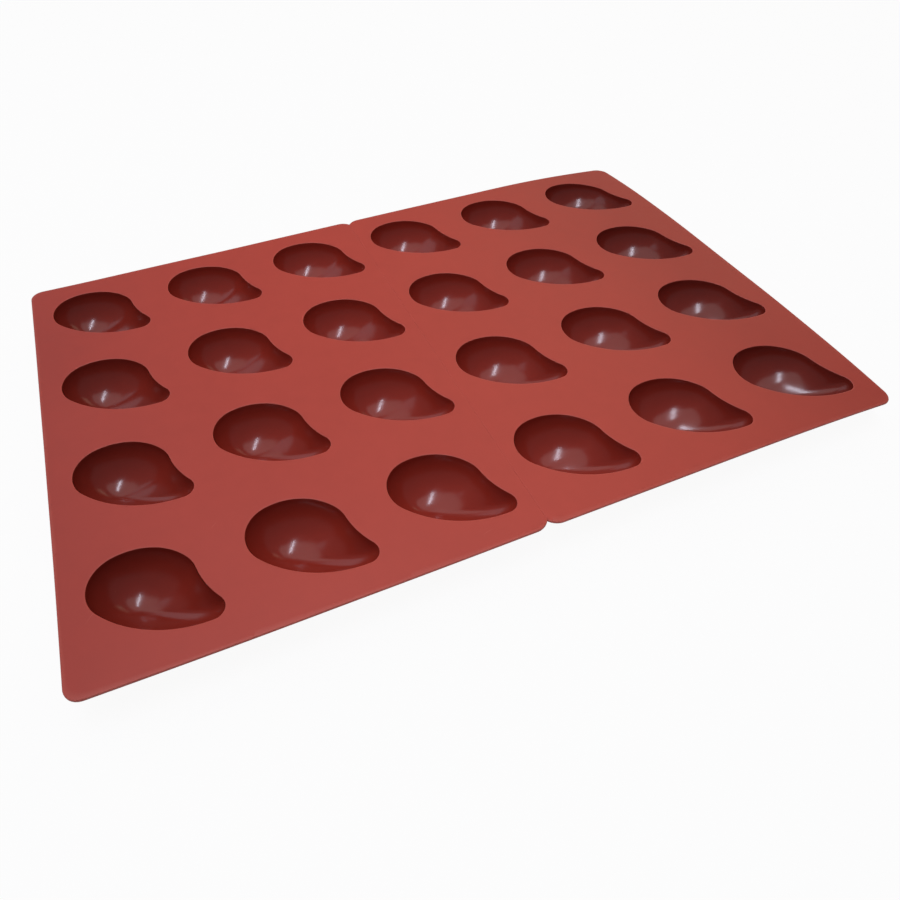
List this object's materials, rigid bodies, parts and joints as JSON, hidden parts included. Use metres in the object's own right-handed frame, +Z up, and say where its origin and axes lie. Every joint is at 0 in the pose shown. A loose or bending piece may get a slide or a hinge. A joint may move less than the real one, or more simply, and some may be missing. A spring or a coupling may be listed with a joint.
{
  "type": "silicone cake mold",
  "caption": "Flexible tray-sized silicone baking mould with rows of deep half-mango cavities, made of two half sheets bonded along a foldable middle seam.",
  "frame": {"origin": "centre of the sheet's footprint, on the surface that the pockets' feet stand on", "axes": "+X along the columns (long side), +Y to the far long edge, +Z up out of the open cavities"},
  "size_m": [0.6, 0.4, 0.03],
  "materials": {
    "silicone": "terracotta red moulded silicone, satin, slightly glossy inside the cavities"
  },
  "bodies": {
    "left_half": {"left_sheet": "silicone", "seam_web": "silicone", "pocket_r1_c1": "silicone", "pocket_r1_c2": "silicone", "pocket_r1_c3": "silicone", "pocket_r2_c1": "silicone", "pocket_r2_c2": "silicone", "pocket_r2_c3": "silicone", "pocket_r3_c1": "silicone", "pocket_r3_c2": "silicone", "pocket_r3_c3": "silicone", "pocket_r4_c1": "silicone", "pocket_r4_c2": "silicone", "pocket_r4_c3": "silicone"},
    "right_half": {"right_sheet": "silicone", "pocket_r1_c4": "silicone", "pocket_r1_c5": "silicone", "pocket_r1_c6": "silicone", "pocket_r2_c4": "silicone", "pocket_r2_c5": "silicone", "pocket_r2_c6": "silicone", "pocket_r3_c4": "silicone", "pocket_r3_c5": "silicone", "pocket_r3_c6": "silicone", "pocket_r4_c4": "silicone", "pocket_r4_c5": "silicone", "pocket_r4_c6": "silicone"}
  },
  "joints": [
    {"name": "seam_fold", "type": "hinge", "parent": "left_half", "child": "right_half", "pos_m": [0, 0, 0.03015], "axis": [0, -1, 0], "range_deg": [-80, 180], "stiffness_Nm_per_rad": 0.03, "deforming": ["seam_web"]}
  ]
}
